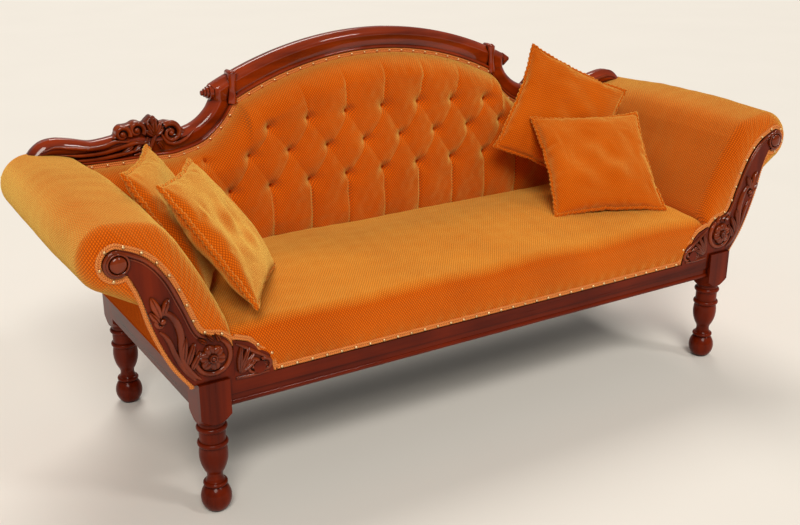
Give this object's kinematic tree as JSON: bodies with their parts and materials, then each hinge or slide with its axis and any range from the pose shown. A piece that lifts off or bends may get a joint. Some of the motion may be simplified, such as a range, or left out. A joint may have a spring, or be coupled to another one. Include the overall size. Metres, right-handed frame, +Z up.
{
  "type": "show-wood sofa",
  "caption": "Scroll-arm show-wood sofa with an arched carved crest rail, a deep-buttoned back, a sprung seat, turned legs and loose knife-edge cushions that lift away",
  "frame": {"origin": "on the floor under the middle of the sofa", "axes": "+X along the seat to the sitter's left, +Y from front to back, +Z up"},
  "size_m": [2.102, 0.717, 0.9669],
  "materials": {
    "show_wood": "polished dark red mahogany",
    "frame_wood": "plain planed hardwood",
    "cover": "orange chenille with a fine diagonal weave",
    "cushion_cover": "orange chenille with corded seams",
    "braid": "woven gimp braid",
    "hessian": "plain jute",
    "dust_cloth": "plain black lining",
    "brass_nails": "antique brass",
    "steel": "bright drawn wire and screws"
  },
  "bodies": {
    "sofa_frame": {"back_buttons": "cover", "back_left_leg": "show_wood", "back_pad": "cover", "back_rail": "show_wood", "back_right_leg": "show_wood", "back_tack_rail": "frame_wood", "back_uprights": "frame_wood", "back_webbing": "hessian", "brace_screws": "steel", "corner_braces": "frame_wood", "crest_arch": "show_wood", "dust_cover": "dust_cloth", "front_left_leg": "show_wood", "front_rail": "show_wood", "front_right_leg": "show_wood", "gimp_braid": "braid", "left_arm_core_rail": "frame_wood", "left_arm_facing": "show_wood", "left_arm_pad": "cover", "left_arm_rear_board": "frame_wood", "left_arm_roundel": "show_wood", "left_arm_tack_rail": "frame_wood", "left_back_post": "frame_wood", "left_corner_bracket": "show_wood", "left_crest_finial": "show_wood", "left_crest_shoulder": "show_wood", "left_crest_strap": "show_wood", "left_crest_volutes": "show_wood", "left_crest_wing": "show_wood", "left_leaf_carving": "show_wood", "left_outside_arm_panel": "cover", "left_rosette": "show_wood", "left_side_rail": "show_wood", "outside_back_panel": "cover", "right_arm_core_rail": "frame_wood", "right_arm_facing": "show_wood", "right_arm_pad": "cover", "right_arm_rear_board": "frame_wood", "right_arm_roundel": "show_wood", "right_arm_tack_rail": "frame_wood", "right_back_post": "frame_wood", "right_corner_bracket": "show_wood", "right_crest_finial": "show_wood", "right_crest_shoulder": "show_wood", "right_crest_strap": "show_wood", "right_crest_volutes": "show_wood", "right_crest_wing": "show_wood", "right_leaf_carving": "show_wood", "right_outside_arm_panel": "cover", "right_rosette": "show_wood", "right_side_rail": "show_wood", "seat_hessian": "hessian", "seat_pad": "cover", "seat_springs": "steel", "upholstery_nails": "brass_nails"},
    "rear_left_cushion": {"rear_left_cushion": "cushion_cover"},
    "front_left_cushion": {"front_left_cushion": "cushion_cover"},
    "rear_right_cushion": {"rear_right_cushion": "cushion_cover"},
    "front_right_cushion": {"front_right_cushion": "cushion_cover"}
  },
  "joints": [
    {"name": "rear_left_cushion_lift", "type": "slide", "parent": "sofa_frame", "child": "rear_left_cushion", "axis": [-0.402, 0.3267, 0.8554], "range_m": [0, 0.18]},
    {"name": "front_left_cushion_lift", "type": "slide", "parent": "sofa_frame", "child": "front_left_cushion", "axis": [0.7075, -0.3794, 0.5962], "range_m": [0, 0.3]},
    {"name": "rear_right_cushion_lift", "type": "slide", "parent": "sofa_frame", "child": "rear_right_cushion", "axis": [0.8328, 0, 0.5536], "range_m": [0, 0.12]},
    {"name": "front_right_cushion_lift", "type": "slide", "parent": "sofa_frame", "child": "front_right_cushion", "axis": [-0.2175, -0.6464, 0.7314], "range_m": [0, 0.3]}
  ]
}
